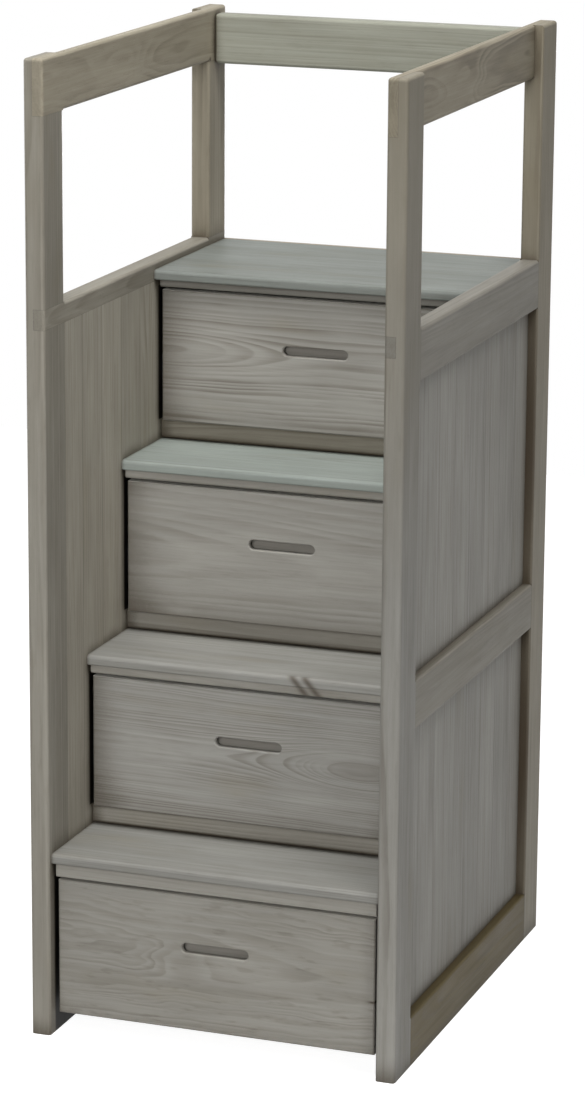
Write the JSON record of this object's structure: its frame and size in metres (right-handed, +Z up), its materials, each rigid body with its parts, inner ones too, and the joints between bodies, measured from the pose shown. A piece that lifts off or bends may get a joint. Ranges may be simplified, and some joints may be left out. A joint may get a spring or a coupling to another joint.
{
  "type": "bunk bed storage staircase",
  "caption": "Wooden storage staircase of a bunk bed: steps with a slotted pull-out drawer under each, between panelled side frames that rise into guard rails round the landing.",
  "frame": {"origin": "on the floor under the middle of the staircase's box", "axes": "+Z up, +X to the right of someone who climbs it, +Y from the first step to the back"},
  "size_m": [0.665, 0.85, 1.7],
  "materials": {
    "grey_washed_pine": "satin grey wash",
    "drawer_box_wood": "pale grey wash",
    "thin_board": "plain plywood",
    "dowel_wood": "bare",
    "zinc_plated_steel": "black zinc"
  },
  "bodies": {
    "frame": {"apron_1": "grey_washed_pine", "apron_2": "grey_washed_pine", "apron_3": "grey_washed_pine", "apron_4": "grey_washed_pine", "back_guard_rail": "grey_washed_pine", "back_panel": "thin_board", "case_slides": "zinc_plated_steel", "guard_rail_dowels": "dowel_wood", "landing": "grey_washed_pine", "left_bottom_rail": "grey_washed_pine", "left_front_post": "grey_washed_pine", "left_guard_rail": "grey_washed_pine", "left_middle_rail": "grey_washed_pine", "left_rear_post": "grey_washed_pine", "left_shoulder_rail": "grey_washed_pine", "left_side_panel": "grey_washed_pine", "left_tread_cleats": "grey_washed_pine", "right_bottom_rail": "grey_washed_pine", "right_front_post": "grey_washed_pine", "right_guard_rail": "grey_washed_pine", "right_middle_rail": "grey_washed_pine", "right_rear_post": "grey_washed_pine", "right_shoulder_rail": "grey_washed_pine", "right_side_panel": "grey_washed_pine", "right_tread_cleats": "grey_washed_pine", "riser_strip_2": "grey_washed_pine", "riser_strip_3": "grey_washed_pine", "riser_strip_4": "grey_washed_pine", "tread_1": "grey_washed_pine", "tread_2": "grey_washed_pine", "tread_3": "grey_washed_pine"},
    "drawer_1": {"drawer_1_back": "drawer_box_wood", "drawer_1_bottom": "thin_board", "drawer_1_front": "grey_washed_pine", "drawer_1_inner_front": "drawer_box_wood", "drawer_1_left_side": "drawer_box_wood", "drawer_1_right_side": "drawer_box_wood", "drawer_1_slides": "zinc_plated_steel"},
    "drawer_2": {"drawer_2_back": "drawer_box_wood", "drawer_2_bottom": "thin_board", "drawer_2_front": "grey_washed_pine", "drawer_2_inner_front": "drawer_box_wood", "drawer_2_left_side": "drawer_box_wood", "drawer_2_right_side": "drawer_box_wood", "drawer_2_slides": "zinc_plated_steel"},
    "drawer_3": {"drawer_3_back": "drawer_box_wood", "drawer_3_bottom": "thin_board", "drawer_3_front": "grey_washed_pine", "drawer_3_inner_front": "drawer_box_wood", "drawer_3_left_side": "drawer_box_wood", "drawer_3_right_side": "drawer_box_wood", "drawer_3_slides": "zinc_plated_steel"},
    "drawer_4": {"drawer_4_back": "drawer_box_wood", "drawer_4_bottom": "thin_board", "drawer_4_front": "grey_washed_pine", "drawer_4_inner_front": "drawer_box_wood", "drawer_4_left_side": "drawer_box_wood", "drawer_4_right_side": "drawer_box_wood", "drawer_4_slides": "zinc_plated_steel"}
  },
  "joints": [
    {"name": "drawer_1_slide", "type": "slide", "parent": "frame", "child": "drawer_1", "axis": [0, -1, 0], "range_m": [0, 0.509]},
    {"name": "drawer_2_slide", "type": "slide", "parent": "frame", "child": "drawer_2", "axis": [0, -1, 0], "range_m": [0, 0.405]},
    {"name": "drawer_3_slide", "type": "slide", "parent": "frame", "child": "drawer_3", "axis": [0, -1, 0], "range_m": [0, 0.299]},
    {"name": "drawer_4_slide", "type": "slide", "parent": "frame", "child": "drawer_4", "axis": [0, -1, 0], "range_m": [0, 0.191]}
  ]
}
